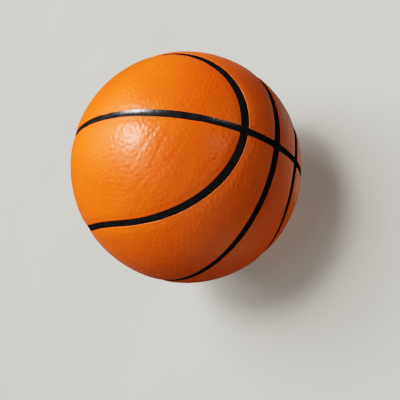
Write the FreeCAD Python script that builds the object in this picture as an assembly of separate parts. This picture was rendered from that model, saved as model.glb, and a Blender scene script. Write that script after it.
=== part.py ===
"""Foam stress ball in the style of a small basketball, in millimetres.

The origin is the ball's centre. +Z is the axis that the two loop seams go round. The equator seam lies
in the XY plane and the meridian seam in the XZ plane, so those two cross on the X axis. From the centre
outwards the ball is a foam core, a denser moulded skin with shallow channels in it, and a thin coat in
eight panels, with a printed line on the floor of each channel.
"""
import FreeCAD
import Part
import math
import os

# Driving dimensions
BALL_DIAMETER = 100.0
COAT_THICKNESS = 0.4
SKIN_THICKNESS = 1.6
CHANNEL_DEPTH = 0.6        # from the coat's surface to the channel's floor
CHANNEL_WIDTH = 2.8
LINE_THICKNESS = 0.3       # the printed line, on the channel's floor

# Each loop seam runs round the Z axis, at a polar angle of LOOP_MEAN + LOOP_SWING * cos(2 * azimuth) degrees
LOOP_MEAN = 58.97
LOOP_SWING = 13.48

CUTTER_MARGIN = 2.0        # how far the channel cutters stand out of the ball
LOOP_POINTS = 15           # points that a smooth curve along half a loop passes through
LOOP_OVERRUN = math.radians(0.9)   # azimuth by which half a loop runs on past the meridian seam

# Derived radii
BALL_RADIUS = BALL_DIAMETER / 2
COAT_BASE_RADIUS = BALL_RADIUS - COAT_THICKNESS
CORE_RADIUS = COAT_BASE_RADIUS - SKIN_THICKNESS
CHANNEL_FLOOR_RADIUS = BALL_RADIUS - CHANNEL_DEPTH
LINE_TOP_RADIUS = CHANNEL_FLOOR_RADIUS + LINE_THICKNESS
CUTTER_RADIUS = BALL_RADIUS + CUTTER_MARGIN

X_AXIS = FreeCAD.Vector(1, 0, 0)
Y_AXIS = FreeCAD.Vector(0, 1, 0)
Z_AXIS = FreeCAD.Vector(0, 0, 1)
CENTRE = FreeCAD.Vector(0, 0, 0)


def shell_between(inner_radius, outer_radius):
    """A hollow ball between two radii."""
    return Part.makeSphere(outer_radius).cut(Part.makeSphere(inner_radius))


def loop_direction(azimuth):
    """Unit vector from the centre to the upper loop's centre line."""
    polar = math.radians(LOOP_MEAN + LOOP_SWING * math.cos(2 * azimuth))
    ring = math.sin(polar)
    return FreeCAD.Vector(ring * math.cos(azimuth), ring * math.sin(azimuth), math.cos(polar))


def loop_edge_direction(azimuth, side):
    """Unit vector to one edge of the loop's channel: side 1 is the pole's side and -1 the equator's."""
    step = 1e-4
    middle = loop_direction(azimuth)
    along = loop_direction(azimuth + step) - loop_direction(azimuth - step)
    across = middle.cross(along).normalize()
    half_angle = CHANNEL_WIDTH / 2 / BALL_RADIUS
    return middle * math.cos(half_angle) + across * (side * math.sin(half_angle))


def loop_curve(side, radius):
    """Smooth curve at a radius, over one edge of the channel of the upper loop's back half."""
    first = -LOOP_OVERRUN
    step = (math.pi + 2 * LOOP_OVERRUN) / (LOOP_POINTS - 1)
    curve = Part.BSplineCurve()
    curve.interpolate([loop_edge_direction(first + step * i, side) * radius for i in range(LOOP_POINTS)])
    return curve.toShape()


def half_loop_band(inner_radius, outer_radius):
    """A solid band along the upper loop's back half, as wide as the channel. Its sides are radial."""
    edges = [
        loop_curve(1, inner_radius),
        loop_curve(1, outer_radius),
        loop_curve(-1, outer_radius),
        loop_curve(-1, inner_radius),
    ]
    neighbours = list(zip(edges, edges[1:] + edges[:1]))
    faces = [Part.makeRuledSurface(one, other) for one, other in neighbours]
    for end in (0, -1):
        corners = [edge.Vertexes[end].Point for edge in edges]
        faces.append(Part.Face(Part.makePolygon(corners + corners[:1])))
    skin = Part.Shell(faces)
    skin.sewShape()
    band = Part.Solid(skin)
    if band.Volume < 0:
        band.reverse()
    return band


def equator_band(inner_radius, outer_radius):
    """A solid flat band along the equator seam, as wide as the channel."""
    foot = FreeCAD.Vector(0, 0, -CHANNEL_WIDTH / 2)
    disc = Part.makeCylinder(outer_radius, CHANNEL_WIDTH, foot)
    return disc.cut(Part.makeCylinder(inner_radius, CHANNEL_WIDTH, foot))


def meridian_band(inner_radius, outer_radius):
    """A solid flat band along the meridian seam: the equator's band, stood on edge."""
    band = equator_band(inner_radius, outer_radius)
    band.rotate(CENTRE, X_AXIS, 90)
    return band


def seam_bands(inner_radius, outer_radius):
    """The solid bands along the four seams between two radii, as a list for each seam's name."""
    back = half_loop_band(inner_radius, outer_radius)
    upper_loop = [back, back.mirror(CENTRE, Y_AXIS)]
    return {
        "meridian": [meridian_band(inner_radius, outer_radius)],
        "equator": [equator_band(inner_radius, outer_radius)],
        "upper_loop": upper_loop,
        "lower_loop": [half.mirror(CENTRE, Z_AXIS) for half in upper_loop],
    }


def with_channels(shell):
    """A shell with the four seams' channels cut out of it."""
    for bands in seam_bands(CHANNEL_FLOOR_RADIUS, CUTTER_RADIUS).values():
        for band in bands:
            shell = shell.cut(band)
    return shell


def coat_panels():
    """The eight fields that the seams leave of the coat: one quarter's two, and their mirror images."""
    coat = with_channels(shell_between(COAT_BASE_RADIUS, BALL_RADIUS))
    quarter = [panel for panel in coat.Solids if panel.CenterOfMass.y > 0 and panel.CenterOfMass.z > 0]
    oval, crescent = sorted(quarter, key=lambda panel: -panel.BoundBox.ZMax)
    panels = {}
    for form, upper_back in (("oval", oval), ("crescent", crescent)):
        lower_back = upper_back.mirror(CENTRE, Z_AXIS)
        panels[f"upper_{form}_back_panel"] = upper_back
        panels[f"upper_{form}_front_panel"] = upper_back.mirror(CENTRE, Y_AXIS)
        panels[f"lower_{form}_back_panel"] = lower_back
        panels[f"lower_{form}_front_panel"] = lower_back.mirror(CENTRE, Y_AXIS)
    return panels


def seam_lines():
    """The printed lines. The meridian line runs unbroken, and the others stop at its two sides."""
    meridian_gap = meridian_band(CORE_RADIUS, CUTTER_RADIUS)
    lines = {}
    for seam, bands in seam_bands(CHANNEL_FLOOR_RADIUS, LINE_TOP_RADIUS).items():
        if seam != "meridian":
            bands = [arc for band in bands for arc in band.cut(meridian_gap).Solids]
        lines[f"{seam}_line"] = Part.makeCompound(bands)
    return lines


def make_nodes():
    """Every sub-part of the ball, by node name."""
    return {
        "foam_core": Part.makeSphere(CORE_RADIUS),
        "moulded_skin": with_channels(shell_between(CORE_RADIUS, COAT_BASE_RADIUS)),
        **coat_panels(),
        **seam_lines(),
    }


os.makedirs("parts", exist_ok=True)
for name, shape in make_nodes().items():
    print(f"{name}: {len(shape.Solids)} solids, {'valid' if shape.isValid() else 'not valid'}")
    shape.exportStep(f"parts/{name}.step")
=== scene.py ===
"""Looks of a foam stress ball styled as a small basketball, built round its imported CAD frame.

Directions are unit vectors from the ball's centre, and lengths are in millimetres until a mesh is made.
The two loop seams go round the Z axis, the equator seam lies in the XY plane and the meridian seam in
the XZ plane.
"""
import math

import bmesh
import bpy
import numpy as np
from mathutils import Matrix, Vector, geometry, noise
from mathutils.kdtree import KDTree


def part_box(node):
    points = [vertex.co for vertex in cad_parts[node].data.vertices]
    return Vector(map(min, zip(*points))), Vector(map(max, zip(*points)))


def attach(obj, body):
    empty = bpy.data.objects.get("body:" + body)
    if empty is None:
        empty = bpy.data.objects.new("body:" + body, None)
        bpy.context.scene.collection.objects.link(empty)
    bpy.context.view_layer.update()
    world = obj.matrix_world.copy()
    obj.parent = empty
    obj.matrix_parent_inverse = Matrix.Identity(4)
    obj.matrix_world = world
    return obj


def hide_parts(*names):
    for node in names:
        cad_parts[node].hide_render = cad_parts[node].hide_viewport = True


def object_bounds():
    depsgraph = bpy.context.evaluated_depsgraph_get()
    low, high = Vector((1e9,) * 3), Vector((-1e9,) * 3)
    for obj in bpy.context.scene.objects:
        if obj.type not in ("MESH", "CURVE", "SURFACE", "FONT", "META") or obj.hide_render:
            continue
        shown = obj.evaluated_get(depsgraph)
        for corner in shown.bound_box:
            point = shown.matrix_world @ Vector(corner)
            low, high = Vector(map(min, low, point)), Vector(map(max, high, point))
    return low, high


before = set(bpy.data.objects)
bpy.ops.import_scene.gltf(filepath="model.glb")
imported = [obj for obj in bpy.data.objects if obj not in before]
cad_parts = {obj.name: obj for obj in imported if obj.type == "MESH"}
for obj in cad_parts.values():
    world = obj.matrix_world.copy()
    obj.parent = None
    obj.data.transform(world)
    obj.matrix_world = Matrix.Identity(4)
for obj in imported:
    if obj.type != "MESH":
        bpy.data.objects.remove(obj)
cad_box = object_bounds()

MM = 0.001

# ---------------------------------------------------------------- sizes from the frame
panel_low, panel_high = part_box("upper_crescent_back_panel")
skin_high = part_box("moulded_skin")[1]
HALF_WIDTH = panel_low[2] / MM          # of a seam's channel
RADIUS = math.hypot(panel_high[1], panel_low[2]) / MM
COAT_BASE = math.hypot(skin_high[1], panel_low[2]) / MM
COAT_THICKNESS = RADIUS - COAT_BASE
LINE_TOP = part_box("meridian_line")[1][2] / MM
CORE_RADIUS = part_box("foam_core")[1][2] / MM

LINE_THICKNESS = 0.3
LINE_FLOOR = LINE_TOP - LINE_THICKNESS

# The loops' shape: polar angle LOOP_MEAN + LOOP_SWING * cos(2 * azimuth)
LOOP_MEAN = math.radians(58.97)
LOOP_SWING = math.radians(13.48)

# ---------------------------------------------------------------- the coat's surface, in mm
GRAIN_PITCH = 2.1             # from one pebble of the grain to the next
GRAIN_HEIGHT = 0.087
GRAIN_SCATTER = 0.24          # of the pitch, by which a pebble strays from its even place
LOWEST_PEBBLE = 0.45          # height of the lowest pebble, as a share of the highest
PEBBLE_FLANK = 0.8            # of the pitch: a pebble is highest where the next is this much farther off
GRAIN_LEVEL = 0.7             # of the grain's height, which lies at the panel's smooth surface
GRAIN_FADE = (0.1, 1.3)       # distances from a channel between which the grain grows in
SEAM_DIP = 0.3                # how far a panel's surface falls towards its seams
DIP_WIDTH = 3.5               # of the strip beside a channel in which it falls
SWELL_HEIGHT = 0.05           # of the slow swells, and their wavelength
SWELL_WAVE = 13.0
CREASE_DEPTH = 0.05           # of the creases, and their wavelength across them
CREASE_WAVE = 5.5
CREASE_WAY = np.array([-0.52, -0.85, 0.0])   # the way that they run
CREASE_STRETCH = 0.86         # how far they are drawn out: 0 not at all, 1 without end
CREASE_EDGE = (0.72, 1.0)     # values of the ridge noise between which a crease deepens
PATCH_WAVE = 30.0             # of the noise whose patches have creases
PATCH_EDGE = (0.0, 0.5)       # values of that noise between which the creases deepen

# ---------------------------------------------------------------- the coat's edges, in mm
# The first three are for an edge that doesn't stray, on a coat of full thickness
CORNER_RADIUS = 0.7           # of a panel's outline
LIP_WIDTH = 0.5               # of the rounded edge where the coat rolls into a channel
LIP_FOOT = 0.04               # height of the plain wall below that edge
SLOW_WANDER = 0.144           # how far the coat's edge strays slowly, and the wavelength
SLOW_WANDER_WAVE = 17.0
QUICK_WANDER = 0.036          # how far it strays quickly, and the wavelength
QUICK_WANDER_WAVE = 2.6
EDGE_SETBACK = 0.14           # how far it stands back from the channel on the whole
BACK_SETBACK = 0.4            # how much more it does at the ball's back, and less at its front
THIN_MERIDIAN = 0.54          # how much less it does along the meridian
WANDER_LIMITS = (-0.5, 0.7)   # of all these together, below 0 where the edge stands back
SEAM_BLEND = 1.5              # two seams' shapes blend where their distances differ by less than this

# ---------------------------------------------------------------- the printed lines, in mm
TUCK = 0.25                   # how far a line goes on past the coat's edge, into its rolled lip
LINE_OVERLAP = 0.25           # how far the other lines' ends go into the meridian's channel
MERIDIAN_HOLLOW = 0.12        # about how far the middle of the meridian line lies below its CAD height
MERIDIAN_CLIMB = 0.18         # about how much higher than its middle its edges are
OTHER_HOLLOW = 0.075          # the same two on the equator and loop lines
OTHER_CLIMB = 0.02
INK_GRAIN = 0.014             # fine unevenness of the ink, and its wavelength
INK_GRAIN_WAVE = 1.1
INK_SWELL = 0.02              # slow unevenness of the ink, and its wavelength
INK_SWELL_WAVE = 5.0
RIPPLE_HEIGHT = 0.02          # of the ripples that run across a line, and their wavelength along it
RIPPLE_WAVE = 0.6

# Where the rows of vertices along a line lie, from one edge at -1 to the other at 1
LINE_ROWS = np.array([-1, -0.93, -0.82, -0.66, -0.35, 0, 0.35, 0.66, 0.82, 0.93, 1])

# ---------------------------------------------------------------- the foam's cells, in mm
FOAM_CELL = 4.0
GROOVE_DEPTH = 0.5            # of the grooves between the cells, at most
FOAM_CLEARANCE = 0.15         # the foam stays at least this far inside its CAD sphere

# ---------------------------------------------------------------- fineness of the meshes
SURFACE_SPACING = 0.3         # between the coat's vertices
BORDER_GAP = 0.7              # of that spacing, kept clear between a panel's border and its other vertices
INNER_SPACING = 3.0           # between the vertices of a panel's inner face
INNER_BORDER = 1.0            # kept clear of vertices inside the inner face, from the channels' edges
LINE_STEP = 0.2               # between the rings of vertices along a printed line
CORNER_STEPS = 6              # of a panel's outline round a corner
LIP_STEPS = 8                 # of the rolled edge, from top to bottom
FOAM_SUBDIVISIONS = 5
SAME_DIRECTION = 1e-9         # directions nearer to each other than this are one
MERGE_DISTANCE = 1e-8         # in metres

# ---------------------------------------------------------------- seeds
GRAIN_SEED = 20
CREASE_SEED = Vector((3.1, 7.7, 1.9))
PATCH_SEED = Vector((3.4, 7.4, 12.1))
WANDER_SEED = Vector((11.3, 2.9, 5.1))

# ---------------------------------------------------------------- stage, with lengths in metres
FLOOR_RADIUS = 9.0
FLOOR_SIDES = 96
FLOOR_FADE = (0.8, 2.2)       # distances between which the floor turns into the backdrop
BACKDROP_COLOUR = (1.0, 0.99, 0.955)
BACKDROP_GLOW = 0.55
LIGHT_DISTANCE = 4.0
DAYLIGHT = (1.0, 0.985, 0.96)
LAMPLIGHT = (1.0, 0.97, 0.93)
TABLE_LIGHT = (1.0, 0.98, 0.93)


# ---------------------------------------------------------------- seams
def loop_polar(azimuth):
    return LOOP_MEAN + LOOP_SWING * np.cos(2 * azimuth)


def loop_middle(azimuth):
    """Directions to the upper loop's centre line."""
    polar = loop_polar(azimuth)
    ring = np.sin(polar)
    return np.stack([ring * np.cos(azimuth), ring * np.sin(azimuth), np.cos(polar)], axis=-1)


def unit(vectors):
    return vectors / np.linalg.norm(vectors, axis=-1, keepdims=True)


def loop_across(azimuth):
    """Unit vectors across the upper loop, towards its pole."""
    step = 1e-4
    along = loop_middle(azimuth + step) - loop_middle(azimuth - step)
    return unit(np.cross(loop_middle(azimuth), along))


def moved(directions, ways, distance):
    """Directions moved over the ball's surface by a distance in mm, the way that unit tangents point."""
    angle = np.asarray(distance) / RADIUS
    angle = angle[..., None] if angle.ndim else angle
    return directions * np.cos(angle) + ways * np.sin(angle)


def loop_distance(directions):
    """Distance from the nearer loop's centre line, positive on its pole's side.

    It is exact only close to the line.
    """
    azimuth = np.arctan2(directions[:, 1], directions[:, 0])
    polar = np.arccos(np.clip(np.abs(directions[:, 2]), 0, 1))
    slope = -2 * LOOP_SWING * np.sin(2 * azimuth) / np.sin(loop_polar(azimuth))
    return RADIUS * (loop_polar(azimuth) - polar) / np.sqrt(1 + slope**2)


def seam_distances(directions):
    """Distance of each direction from the meridian, the equator and the nearer loop."""
    meridian = RADIUS * np.arcsin(np.clip(np.abs(directions[:, 1]), 0, 1))
    equator = RADIUS * np.arcsin(np.clip(np.abs(directions[:, 2]), 0, 1))
    return np.stack([meridian, equator, np.abs(loop_distance(directions))])


def smooth_step(low, high, values):
    x = np.clip((values - low) / (high - low), 0, 1)
    return x * x * (3 - 2 * x)


def noise_at(directions, wavelength, seed):
    """Smooth noise of about -1 to 1 over the ball, with a wavelength in mm."""
    scale = RADIUS / wavelength
    return np.array([noise.noise(Vector(p) * scale + seed) for p in directions.tolist()])


def nearness_to_meridian(directions):
    """1 where the meridian is the nearest seam and 0 where another one is, with a soft change between."""
    meridian, equator, loop = seam_distances(directions)
    return smooth_step(-SEAM_BLEND, SEAM_BLEND, np.minimum(equator, loop) - meridian)


def edge_wander(directions):
    """How far the coat's edge comes into a channel, in mm: below 0 where it stands back from it."""
    slow = SLOW_WANDER * noise_at(directions, SLOW_WANDER_WAVE, WANDER_SEED)
    quick = QUICK_WANDER * noise_at(directions, QUICK_WANDER_WAVE, WANDER_SEED)
    lean = THIN_MERIDIAN * nearness_to_meridian(directions) - BACK_SETBACK * directions[:, 1]
    return np.clip(slow + quick + lean - EDGE_SETBACK, *WANDER_LIMITS)


# ---------------------------------------------------------------- the coat's surface
def spread_over_ball(spacing):
    """Evenly spread directions, about that far apart in mm."""
    count = int(4 * math.pi * RADIUS**2 / (spacing**2 * math.sqrt(3) / 2))
    index = np.arange(count) + 0.5
    height = 1 - 2 * index / count
    ring = np.sqrt(1 - height**2)
    turn = index * math.pi * (3 - math.sqrt(5))
    return np.stack([ring * np.cos(turn), ring * np.sin(turn), height], axis=-1)


def tree_of(directions):
    tree = KDTree(len(directions))
    for i, direction in enumerate(directions.tolist()):
        tree.insert(direction, i)
    tree.balance()
    return tree


def grain_centres():
    """The pebbles' centres as a tree, and each pebble's height as a share of the highest."""
    draws = np.random.RandomState(GRAIN_SEED)
    centres = spread_over_ball(GRAIN_PITCH)
    scatter = draws.normal(scale=GRAIN_SCATTER * GRAIN_PITCH / RADIUS, size=centres.shape)
    heights = LOWEST_PEBBLE + (1 - LOWEST_PEBBLE) * draws.random_sample(len(centres))
    return tree_of(unit(centres + scatter)), heights


GRAIN_TREE, GRAIN_HEIGHTS = grain_centres()


def grain(directions):
    """Height of the pebble grain: 0 in the valleys between pebbles, and up to 1 on top of one."""
    slope = RADIUS / (PEBBLE_FLANK * GRAIN_PITCH)
    heights = np.empty(len(directions))
    for i, point in enumerate(directions.tolist()):
        (_, pebble, near), (_, _, far) = GRAIN_TREE.find_n(point, 2)
        rise = min(1.0, (far - near) * slope)
        heights[i] = GRAIN_HEIGHTS[pebble] * rise * rise * (3 - 2 * rise)
    return heights


def unevenness(directions):
    """Slow swells and long faint creases of a soft moulding, in mm."""
    swell = noise_at(directions, SWELL_WAVE, CREASE_SEED)
    drawn_out = directions - np.outer(directions @ CREASE_WAY, CREASE_WAY) * CREASE_STRETCH
    ridge = 1 - np.abs(noise_at(drawn_out, CREASE_WAVE, CREASE_SEED * 2))
    patch = smooth_step(*PATCH_EDGE, noise_at(directions, PATCH_WAVE, PATCH_SEED))
    return SWELL_HEIGHT * swell - CREASE_DEPTH * smooth_step(*CREASE_EDGE, ridge) * patch


def coat_height(directions):
    """Radius of the coat's surface: it falls towards the seams, and the grain grows in away from them."""
    depth_in = seam_distances(directions).min(axis=0) - HALF_WIDTH
    dip = SEAM_DIP * np.clip(1 - depth_in / DIP_WIDTH, 0, 1) ** 2
    pebbles = smooth_step(*GRAIN_FADE, depth_in) * GRAIN_HEIGHT * (grain(directions) - GRAIN_LEVEL)
    return RADIUS - dip + pebbles + unevenness(directions)


# ---------------------------------------------------------------- a panel's outline
# A panel's rim is rolled round a path this far inside the seams' centre lines, in mm and as an angle
INSET = HALF_WIDTH + CORNER_RADIUS
TILT = INSET / RADIUS


def meridian_side(turn):
    """Path beside the meridian seam and the ways towards the seam.

    turn is the angle from +Z towards +X.
    """
    sin, cos, still = np.sin(turn), np.cos(turn), np.ones_like(turn)
    path = np.stack([math.cos(TILT) * sin, math.sin(TILT) * still, math.cos(TILT) * cos], axis=-1)
    ways = np.stack([math.sin(TILT) * sin, -math.cos(TILT) * still, math.sin(TILT) * cos], axis=-1)
    return path, ways


def equator_side(azimuth):
    """Path beside the equator seam, and the ways towards the seam."""
    sin, cos, still = np.sin(azimuth), np.cos(azimuth), np.ones_like(azimuth)
    path = np.stack([math.cos(TILT) * cos, math.cos(TILT) * sin, math.sin(TILT) * still], axis=-1)
    ways = np.stack([math.sin(TILT) * cos, math.sin(TILT) * sin, -math.cos(TILT) * still], axis=-1)
    return path, ways


def loop_side(azimuth, side):
    """Path beside the loop, and the ways towards it: side is 1 on its pole's side and -1 outside it."""
    middle, across = loop_middle(azimuth), side * loop_across(azimuth)
    ways = middle * math.sin(TILT) - across * math.cos(TILT)
    return moved(middle, across, INSET), ways


def pole_side_of_loop(azimuth):
    return loop_side(azimuth, 1)


def outside_of_loop(azimuth):
    return loop_side(azimuth, -1)


def corner_azimuth(side):
    """Azimuth near +X at which a loop's side path meets the meridian's, found by halving."""
    low, high = 0.0, 0.3
    halvings = 50
    for _ in range(halvings):
        middle = (low + high) / 2
        path, _ways = side(np.array([middle]))
        if path[0, 1] < math.sin(TILT):
            low = middle
        else:
            high = middle
    return low


def turn_at(side, azimuth):
    """The meridian side's turn at a point of a loop's side."""
    point = side(np.array([azimuth]))[0][0]
    return math.atan2(point[0], point[2])


def oval_sides():
    start = corner_azimuth(pole_side_of_loop)
    turn = turn_at(pole_side_of_loop, start)
    return [(meridian_side, turn, -turn), (pole_side_of_loop, math.pi - start, start)]


def crescent_sides():
    start = corner_azimuth(outside_of_loop)
    high_turn = turn_at(outside_of_loop, start)
    low_turn = math.acos(math.tan(TILT))
    end = math.asin(math.tan(TILT))
    return [
        (outside_of_loop, start, math.pi - start),
        (meridian_side, -high_turn, -low_turn),
        (equator_side, math.pi - end, end),
        (meridian_side, low_turn, high_turn),
    ]


def side_points(side, first, last):
    """One side's path and ways, at about the surface's spacing."""
    rough_points = 400
    rough = side(np.linspace(first, last, rough_points))[0]
    length = RADIUS * np.linalg.norm(np.diff(rough, axis=0), axis=1).sum()
    return side(np.linspace(first, last, max(3, round(length / SURFACE_SPACING))))


def rim_path(sides):
    """Directions round a panel and the ways out of it.

    A corner's direction repeats while its way swings round.
    """
    points = [side_points(*side) for side in sides]
    share = np.linspace(0, 1, CORNER_STEPS + 2)[1:-1, None]
    paths, ways = [], []
    for i, (path, way) in enumerate(points):
        next_way = points[(i + 1) % len(points)][1][0]
        paths += [path, np.repeat(path[-1:], CORNER_STEPS, axis=0)]
        ways += [way, unit(way[-1] * (1 - share) + next_way * share)]
    return np.concatenate(paths), np.concatenate(ways)


def rim_profile():
    """(distance in from the outline, depth below the coat's surface), from the top to the inner face.

    It is for an edge that doesn't stray, on a coat of full thickness.
    """
    lip_drop = COAT_THICKNESS - LIP_FOOT
    rows = [(0.0, COAT_THICKNESS)]
    for step in range(LIP_STEPS):
        angle = step / (LIP_STEPS - 1) * math.pi / 2
        rows.append((LIP_WIDTH * (1 - math.cos(angle)), lip_drop * (1 - math.sin(angle))))
    return rows[::-1]


def flat_chart(directions, centre):
    """Equal-area flat coordinates of directions round a centre."""
    aside = unit(np.cross(centre, [1.0, 0.0, 0.0]))
    above = np.cross(centre, aside)
    spread = np.sqrt(2 / (1 + directions @ centre))
    return [Vector((x, y)) for x, y in zip(spread * (directions @ aside), spread * (directions @ above))]


def filled(outline, inside, centre):
    """Triangles that fill an outline of directions through the inside directions, as lists of places.

    The places count through the outline first and then the inside.
    """
    chart = flat_chart(np.concatenate([outline, inside]), centre)
    face = list(range(len(outline)))
    _, _, faces, origins, _, _ = geometry.delaunay_2d_cdt(chart, [], [face], 1, SAME_DIRECTION)
    first = [origin[0] for origin in origins]
    return [[first[i] for i in f] for f in faces]


def clear_of(outline, candidates, gap):
    """Those candidates that are at least a gap in mm from every point of the outline."""
    tree = tree_of(outline)
    keep = [tree.find(point)[2] * RADIUS > gap for point in candidates.tolist()]
    return candidates[np.array(keep)]


def inside_panel(form, directions, inset):
    """Which directions lie in the upper back panel of that form, further than the inset from its seams."""
    from_meridian, from_equator, _ = seam_distances(directions)
    beside_loop = loop_distance(directions) * (1 if form == "oval" else -1)
    quarter = (directions[:, 1] > 0) & (directions[:, 2] > 0)
    here = quarter & (from_meridian > inset) & (beside_loop > inset)
    return here if form == "oval" else here & (from_equator > inset)


class PanelPlan:
    """Directions and faces of the upper back panel of one form, before its surface is given heights."""

    def __init__(self, form, sides):
        self.path, self.ways = rim_path(sides)
        self.centre = unit(self.path.mean(axis=0))
        fresh = np.linalg.norm(np.roll(self.path, 1, axis=0) - self.path, axis=1) > SAME_DIRECTION
        border = self.path[fresh]
        # Each path point's place among the top's
        self.top_of_path = (np.cumsum(fresh) - 1) % len(border)

        surface = spread_over_ball(SURFACE_SPACING)
        surface = surface[inside_panel(form, surface, INSET)]
        surface = clear_of(border, surface, BORDER_GAP * SURFACE_SPACING)
        self.top = np.concatenate([border, surface])
        self.top_faces = filled(border, surface, self.centre)

        inner = spread_over_ball(INNER_SPACING)
        self.inner = inner[inside_panel(form, inner, HALF_WIDTH + INNER_BORDER)]


PLANS = {"oval": PanelPlan("oval", oval_sides()), "crescent": PanelPlan("crescent", crescent_sides())}


# ---------------------------------------------------------------- pieces
def mesh_object(name, points, faces, material):
    """A smooth-shaded object, from points in mm."""
    mesh = bpy.data.meshes.new(name)
    mesh.from_pydata((np.asarray(points) * MM).tolist(), [], faces)
    build = bmesh.new()
    build.from_mesh(mesh)
    bmesh.ops.remove_doubles(build, verts=build.verts, dist=MERGE_DISTANCE)
    bmesh.ops.recalc_face_normals(build, faces=build.faces)
    return object_from(name, build, mesh, material)


def object_from(name, build, mesh, material):
    """A smooth-shaded object in the scene, from a bmesh that is written to the mesh."""
    build.to_mesh(mesh)
    build.free()
    mesh.polygons.foreach_set("use_smooth", [True] * len(mesh.polygons))
    mesh.materials.append(material)
    piece = bpy.data.objects.new(name, mesh)
    bpy.context.scene.collection.objects.link(piece)
    return piece


def finish_piece(piece, node):
    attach(piece, "root")
    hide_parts(node)


def pebbled_panel(node, form, signs, material):
    """A coat panel, which is the plan's mirror image by signs.

    It has a grained top, rolled edges and a plain inner face.
    """
    plan = PLANS[form]
    path, ways, top, inner = (a * signs for a in (plan.path, plan.ways, plan.top, plan.inner))

    # The top
    heights = coat_height(top)
    points = [top * heights[:, None]]
    faces = list(plan.top_faces)

    # The rolled edge, from the top's border down to the inner face
    path_heights = heights[plan.top_of_path]
    stray = edge_wander(moved(path, ways, CORNER_RADIUS))
    count = len(path)
    above = plan.top_of_path.tolist()
    start = len(top)
    for inwards, below in rim_profile():
        ring = moved(path, ways, (CORNER_RADIUS + stray) * (1 - inwards / CORNER_RADIUS))
        ring_heights = path_heights - below * (path_heights - COAT_BASE) / COAT_THICKNESS
        points.append(ring * ring_heights[:, None])
        here = list(range(start, start + count))
        for i in range(count):
            j = (i + 1) % count
            faces.append([above[i], above[j], here[j], here[i]])
        above, start = here, start + count

    # The inner face, on coarse triangles that share the last ring
    last_ring = start - count
    faces += [[last_ring + k for k in f] for f in filled(unit(points[-1]), inner, plan.centre * signs)]
    points.append(inner * COAT_BASE)

    faces = [list(dict.fromkeys(f)) for f in faces]
    faces = [f for f in faces if len(f) > 2]
    piece = mesh_object(f"{node}_pebbled", np.concatenate(points), faces, material)
    finish_piece(piece, node)
    return piece


def coat_panels(material):
    """The eight panels of the coat."""
    panels = []
    for level, up in (("upper", 1), ("lower", -1)):
        for side, back in (("back", 1), ("front", -1)):
            for form in PLANS:
                node = f"{level}_{form}_{side}_panel"
                panels.append(pebbled_panel(node, form, np.array([1, back, up]), material))
    return panels


# ---------------------------------------------------------------- printed lines
def line_height(directions):
    """Radius of a printed line's surface: hollow along the meridian, nearly flat elsewhere."""
    to_wall = (HALF_WIDTH - edge_wander(directions) - seam_distances(directions)).max(axis=0)
    rise = np.clip(1 - (to_wall + TUCK) / (HALF_WIDTH + TUCK), 0, 1) ** 2
    near = nearness_to_meridian(directions)
    climb = near * MERIDIAN_CLIMB + (1 - near) * OTHER_CLIMB
    hollow = near * MERIDIAN_HOLLOW + (1 - near) * OTHER_HOLLOW
    fine = INK_GRAIN * noise_at(directions, INK_GRAIN_WAVE, CREASE_SEED)
    slow = INK_SWELL * noise_at(directions, INK_SWELL_WAVE, WANDER_SEED)
    return LINE_TOP - hollow + climb * rise + (fine + slow)


def printed_arc(middle, across, closed):
    """Points and faces of a printed line along a path of directions, as a closed solid."""
    halves = []
    for side in (-1, 1):
        edge = moved(middle, across * side, HALF_WIDTH)
        halves.append(HALF_WIDTH - edge_wander(edge) + TUCK)
    rows = [moved(middle, across, share * np.where(share < 0, *halves)) for share in LINE_ROWS]
    ripple = RIPPLE_HEIGHT * noise_at(middle, RIPPLE_WAVE, WANDER_SEED)
    tops = [row * (line_height(row) + ripple)[:, None] for row in rows]
    floors = [rows[k] * LINE_FLOOR for k in (-1, len(rows) // 2, 0)]
    rings = np.stack(tops + floors, axis=1)
    count, width = rings.shape[:2]
    faces = []
    for i in range(count if closed else count - 1):
        j = (i + 1) % count
        for k in range(width):
            n = (k + 1) % width
            faces.append([i * width + k, i * width + n, j * width + n, j * width + k])
    if not closed:
        faces.append(list(range(width)))
        faces.append(list(range((count - 1) * width, count * width)))
    return rings.reshape(-1, 3), faces


def printed_line(node, arcs, material):
    """A printed line from its arcs' points and faces."""
    points, faces, start = [], [], 0
    for arc_points, arc_faces in arcs:
        points.append(arc_points)
        faces += [[start + k for k in f] for f in arc_faces]
        start += len(arc_points)
    piece = mesh_object(f"{node}_printed", np.concatenate(points), faces, material)
    finish_piece(piece, node)


def turns(first, last):
    """Angles along a great circle, a line's step apart."""
    return np.linspace(first, last, round(RADIUS * abs(last - first) / LINE_STEP))


def meridian_line(material):
    """One unbroken ring."""
    turn = turns(0, 2 * math.pi)[:-1]
    zero = np.zeros_like(turn)
    across = np.tile([0.0, 1.0, 0.0], (len(turn), 1))
    arc = printed_arc(np.stack([np.cos(turn), zero, np.sin(turn)], axis=-1), across, True)
    printed_line("meridian_line", [arc], material)


def equator_line(material):
    """Two halves, which end in the meridian line."""
    start = math.asin((HALF_WIDTH - LINE_OVERLAP) / RADIUS)
    arcs = []
    for side in (0, math.pi):
        turn = turns(side + start, side + math.pi - start)
        zero = np.zeros_like(turn)
        across = np.tile([0.0, 0.0, 1.0], (len(turn), 1))
        arcs.append(printed_arc(np.stack([np.cos(turn), np.sin(turn), zero], axis=-1), across, False))
    printed_line("equator_line", arcs, material)


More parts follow.
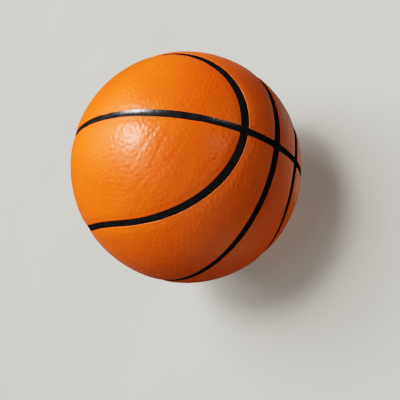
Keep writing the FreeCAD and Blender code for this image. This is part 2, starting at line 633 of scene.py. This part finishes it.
def loop_lines(material):
    """Two loops, each in two halves, which end in the meridian line."""
    steps = math.pi * RADIUS * math.sin(LOOP_MEAN) / LINE_STEP
    start = math.asin((HALF_WIDTH - LINE_OVERLAP) / RADIUS / math.sin(loop_polar(0)))
    azimuth = np.linspace(start, math.pi - start, round(steps))
    back = loop_middle(azimuth), loop_across(azimuth)
    for node, level in (("upper_loop_line", 1), ("lower_loop_line", -1)):
        arcs = [printed_arc(*(a * [1, side, level] for a in back), False) for side in (1, -1)]
        printed_line(node, arcs, material)


# ---------------------------------------------------------------- foam
def foam_body(material):
    """The foam core, whose surface bulges with cells and has grooves between them."""
    build = bmesh.new()
    bmesh.ops.create_icosphere(build, subdivisions=FOAM_SUBDIVISIONS, radius=CORE_RADIUS * MM)
    for vertex in build.verts:
        near = noise.voronoi(vertex.co / (FOAM_CELL * MM))[0]
        bulge = min(1.0, near[1] - near[0])
        vertex.co *= 1 - (FOAM_CLEARANCE + GROOVE_DEPTH * (1 - bulge)) / CORE_RADIUS
    piece = object_from("foam_body", build, bpy.data.meshes.new("foam_body"), material)
    finish_piece(piece, "foam_core")


# ---------------------------------------------------------------- materials
class Surface:
    """A material with a Principled shader, and short calls that add procedural detail to it."""

    def __init__(self, name, roughness, specular=0.5):
        self.material = bpy.data.materials.new(name)
        self.material.use_nodes = True
        self.tree = self.material.node_tree
        self.shader = self.tree.nodes["Principled BSDF"]
        self.set("Roughness", roughness)
        self.set("Specular IOR Level", specular)
        self.place = self.node("ShaderNodeTexCoord").outputs["Object"]

    def node(self, kind, **settings):
        made = self.tree.nodes.new(kind)
        for key, value in settings.items():
            setattr(made, key, value)
        return made

    def link(self, source, target):
        self.tree.links.new(source, target)

    def set(self, socket, value):
        self.shader.inputs[socket].default_value = value

    def noise(self, size_mm, detail=3.0):
        """A noise texture's value, with features of about that size."""
        texture = self.node("ShaderNodeTexNoise")
        texture.inputs["Scale"].default_value = 1 / (size_mm * MM)
        texture.inputs["Detail"].default_value = detail
        self.link(self.place, texture.inputs["Vector"])
        return texture.outputs["Fac"]

    def cells(self, size_mm):
        """Distance from the middle of the nearest cell, in cells of about that size."""
        texture = self.node("ShaderNodeTexVoronoi")
        texture.inputs["Scale"].default_value = 1 / (size_mm * MM)
        self.link(self.place, texture.inputs["Vector"])
        return texture.outputs["Distance"]

    def shades(self, value, first, last, start=0.3, end=0.7):
        """Colours from the first to the last, as a value goes from start to end."""
        made = self.node("ShaderNodeValToRGB")
        for point, position, colour in zip(made.color_ramp.elements, (start, end), (first, last)):
            point.position = position
            point.color = (*colour, 1)
        self.link(value, made.inputs["Fac"])
        return made.outputs["Color"]

    def spread(self, value, low, high, start=0.3, end=0.7):
        """A value from start to end, spread over low to high."""
        made = self.node("ShaderNodeMapRange")
        for key, number in (("From Min", start), ("From Max", end), ("To Min", low), ("To Max", high)):
            made.inputs[key].default_value = number
        self.link(value, made.inputs["Value"])
        return made.outputs["Result"]

    def darkened(self, colours, shades, share):
        """Colours multiplied by shades, as strongly as the share says."""
        made = self.node("ShaderNodeMix", data_type="RGBA", blend_type="MULTIPLY")
        made.inputs["Factor"].default_value = share
        first, second = (socket for socket in made.inputs if socket.type == "RGBA")
        self.link(colours, first)
        self.link(shades, second)
        return next(socket for socket in made.outputs if socket.type == "RGBA")

    def colour(self, source):
        self.link(source, self.shader.inputs["Base Color"])

    def roughness(self, source):
        self.link(source, self.shader.inputs["Roughness"])

    def bump(self, height, depth_mm):
        made = self.node("ShaderNodeBump")
        made.inputs["Distance"].default_value = depth_mm * MM
        made.inputs["Strength"].default_value = 1.0
        self.link(height, made.inputs["Height"])
        earlier = self.shader.inputs["Normal"]
        if earlier.is_linked:
            self.link(earlier.links[0].from_socket, made.inputs["Normal"])
        self.link(made.outputs["Normal"], earlier)


def orange_coat():
    """Flexible orange coat: slow shifts of shade, faint mottling, and a fine skin over the grain."""
    look = Surface("orange_coat", roughness=0.34, specular=0.42)
    look.set("Sheen Weight", 0.08)
    look.set("Sheen Roughness", 0.3)
    deep_orange, bright_orange = (0.84, 0.136, 0.007), (0.90, 0.164, 0.010)
    grey, white = (0.76, 0.76, 0.76), (1, 1, 1)
    slow = look.shades(look.noise(28, detail=2.0), deep_orange, bright_orange, start=0.35, end=0.65)
    mottle = look.shades(look.noise(3.2, detail=5.0), grey, white, start=0.3, end=0.6)
    look.colour(look.darkened(slow, mottle, share=0.22))
    look.roughness(look.spread(look.noise(1.6, detail=4.0), low=0.3, high=0.39))
    look.bump(look.noise(1.1, detail=2.0), depth_mm=0.035)
    look.bump(look.noise(0.45), depth_mm=0.012)
    return look.material


def black_ink():
    """Glossy flexible black print, with ripples from its drying and faint dust."""
    look = Surface("black_ink", roughness=0.3, specular=0.9)
    black, dusty_black = (0.009, 0.009, 0.010), (0.024, 0.023, 0.023)
    look.colour(look.shades(look.noise(2.0, detail=5.0), black, dusty_black, start=0.35, end=0.7))
    look.roughness(look.spread(look.noise(1.2, detail=4.0), low=0.25, high=0.35))
    look.bump(look.noise(0.6, detail=2.0), depth_mm=0.02)
    return look.material


def dense_skin():
    """The moulded skin under the coat: closed foam, tinted through."""
    look = Surface("dense_skin", roughness=0.6)
    dark_tan, light_tan = (0.42, 0.15, 0.035), (0.55, 0.23, 0.07)
    look.colour(look.shades(look.noise(2.4, detail=4.0), dark_tan, light_tan))
    look.roughness(look.spread(look.noise(1.0), low=0.5, high=0.72))
    look.bump(look.cells(0.5), depth_mm=0.04)
    return look.material


def open_foam():
    """Slow-rise foam: fine open cells, pale and matte, with painted shade in their pits."""
    look = Surface("open_foam", roughness=0.9, specular=0.2)
    # Each cell's middle, which the bump below sinks into a pit, is coloured darker: painted shade in the
    # pits
    shaded_pit, cell_wall = (0.62, 0.45, 0.24), (0.82, 0.66, 0.42)
    look.colour(look.shades(look.cells(0.7), shaded_pit, cell_wall, start=0.0, end=0.6))
    look.roughness(look.spread(look.noise(1.5), low=0.8, high=0.97))
    look.bump(look.cells(0.7), depth_mm=0.25)
    look.bump(look.noise(2.5), depth_mm=0.15)
    return look.material


def pale_floor():
    """A pale table top, which far from the ball turns into the backdrop's plain glow."""
    look = Surface("pale_floor", roughness=0.62, specular=0.3)
    grey, pale_grey = (0.245, 0.245, 0.236), (0.26, 0.26, 0.25)
    look.colour(look.shades(look.noise(120), grey, pale_grey))
    look.bump(look.noise(2.0, detail=2.0), depth_mm=0.02)
    # The floor glows a little all over: painted fill light, which keeps the ball's shadow on it from going
    # dark
    look.set("Emission Color", (1.0, 0.97, 0.86, 1))
    look.set("Emission Strength", 0.13)
    away = look.node("ShaderNodeVectorMath", operation="LENGTH")
    look.link(look.place, away.inputs[0])
    glow = look.node("ShaderNodeEmission")
    glow.inputs["Color"].default_value = (*BACKDROP_COLOUR, 1)
    glow.inputs["Strength"].default_value = BACKDROP_GLOW
    mixed = look.node("ShaderNodeMixShader")
    fade_start, fade_end = FLOOR_FADE
    faded = look.spread(away.outputs["Value"], low=0.0, high=1.0, start=fade_start, end=fade_end)
    look.link(faded, mixed.inputs["Fac"])
    look.link(look.shader.outputs["BSDF"], mixed.inputs[1])
    look.link(glow.outputs["Emission"], mixed.inputs[2])
    look.link(mixed.outputs["Shader"], look.tree.nodes["Material Output"].inputs["Surface"])
    return look.material


def put_material(node, material):
    """Gives a carried-over CAD node its material."""
    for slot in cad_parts[node].material_slots:
        slot.link = "OBJECT"
        slot.material = material


# ---------------------------------------------------------------- stage
def floor():
    """A plain pale floor under the ball."""
    ground_level = (0, 0, cad_box[0][2])
    bpy.ops.mesh.primitive_circle_add(
        vertices=FLOOR_SIDES, radius=FLOOR_RADIUS, fill_type="NGON", location=ground_level
    )
    ground = bpy.context.object
    ground.name = "floor"
    ground.data.materials.append(pale_floor())
    # The ball takes no light from the floor itself: lights below the floor stand for what it gives back
    ground.visible_diffuse = False
    ground.visible_glossy = False
    ground.visible_shadow = False


def backdrop():
    """A plain glow all round, which the camera sees and which lights nothing."""
    world = bpy.data.worlds.new("room_air")
    bpy.context.scene.world = world
    world.use_nodes = True
    sky = world.node_tree.nodes["Background"]
    sky.inputs["Color"].default_value = (*BACKDROP_COLOUR, 1)
    sky.inputs["Strength"].default_value = BACKDROP_GLOW
    world.cycles_visibility.diffuse = False
    world.cycles_visibility.glossy = False


def area_light(name, towards, size, power, colour):
    """A square light that faces the ball, along a direction from it."""
    way = Vector(towards).normalized()
    data = bpy.data.lights.new(name, "AREA")
    data.shape = "SQUARE"
    data.size = size
    data.energy = power
    data.color = colour
    made = bpy.data.objects.new(name, data)
    made.location = way * LIGHT_DISTANCE
    made.rotation_euler = way.to_track_quat("Z", "Y").to_euler()
    bpy.context.scene.collection.objects.link(made)
    return made


def glossy_lights():
    """The window, its sill and the room's lamp, whose reflections show on the coat and the ink."""
    area_light("window", towards=(-0.03, 0.15, 0.988), size=1.05, power=110.0, colour=DAYLIGHT)
    area_light("window_sill", towards=(0.05, -0.25, 0.97), size=1.6, power=24.0, colour=DAYLIGHT)
    area_light("room", towards=(0.95, 0.14, 0.285), size=0.3, power=7.0, colour=LAMPLIGHT)


def soft_lights():
    """Broad lights with no reflection: a bright wall, the room's fill, and what the floor gives back."""
    for name, towards, size, power in (
        ("wall", (-0.42, 0.30, 0.86), 3.5, 215.0),
        ("fill", (0.68, -0.68, 0.26), 3.2, 14.0),
        ("floor_bounce", (0.38, 0.2, -0.9), 3.0, 32.0),
        ("low_bounce", (0.1, -0.8, -0.59), 3.0, 28.0),
    ):
        area_light(name, towards, size, power, DAYLIGHT).visible_glossy = False


def coat_lights(panels):
    """The floor's soft reflection near the ball's lower outline, which only the coat's panels get."""
    coated = bpy.data.collections.new("coated")
    for panel in panels:
        coated.objects.link(panel)
    for name, towards, power in (
        ("floor_sheen", (0.04, 0.5, -0.86), 8.5),
        ("shade_sheen", (0.2, -0.55, -0.8), 3.5),
    ):
        made = area_light(name, towards, size=2.8, power=power, colour=TABLE_LIGHT)
        made.light_linking.receiver_collection = coated


def camera():
    """The camera looks down on the ball and is rolled on its side."""
    place = Vector((2.674, -1.2765, 2.0702)) * RADIUS * MM
    back = Vector((0.7294, -0.2873, 0.6208)).normalized()
    above = Vector((0.1165, 0.9464, 0.3012))
    right = above.cross(back).normalized()
    above = back.cross(right)
    data = bpy.data.cameras.new("camera")
    data.lens = 36.0
    data.sensor_width = 36.0
    data.clip_start = 0.01
    made = bpy.data.objects.new("camera", data)
    made.matrix_world = Matrix.Translation(place) @ Matrix((right, above, back)).transposed().to_4x4()
    bpy.context.scene.collection.objects.link(made)
    bpy.context.scene.camera = made


def tone(light):
    """What the film shows for an amount of light."""
    contrast, knee, ceiling = 1.4, 0.408, 1.2
    bent = light**contrast
    return ceiling * bent / (bent + knee)


def film_response():
    """A camera's tone curve, whose toe and shoulder turn bright orange yellower and shade redder."""
    brightest = 4.0
    levels = (0.02, 0.05, 0.1, 0.2, 0.35, 0.6, 1.0, 1.6, 2.5)
    view = bpy.context.scene.view_settings
    view.view_transform = "Standard"
    view.use_curve_mapping = True
    mapping = view.curve_mapping
    mapping.clip_max_x = mapping.clip_max_y = brightest
    all_channels = 3
    curve = mapping.curves[all_channels]
    curve.points[1].location = (brightest, tone(brightest))
    for light in levels:
        curve.points.new(light, tone(light))
    mapping.update()


# ---------------------------------------------------------------- the ball
coat_pieces = coat_panels(orange_coat())
ink = black_ink()
meridian_line(ink)
equator_line(ink)
loop_lines(ink)
put_material("moulded_skin", dense_skin())
foam_body(open_foam())

floor()
glossy_lights()
soft_lights()
coat_lights(coat_pieces)
backdrop()
film_response()
camera()
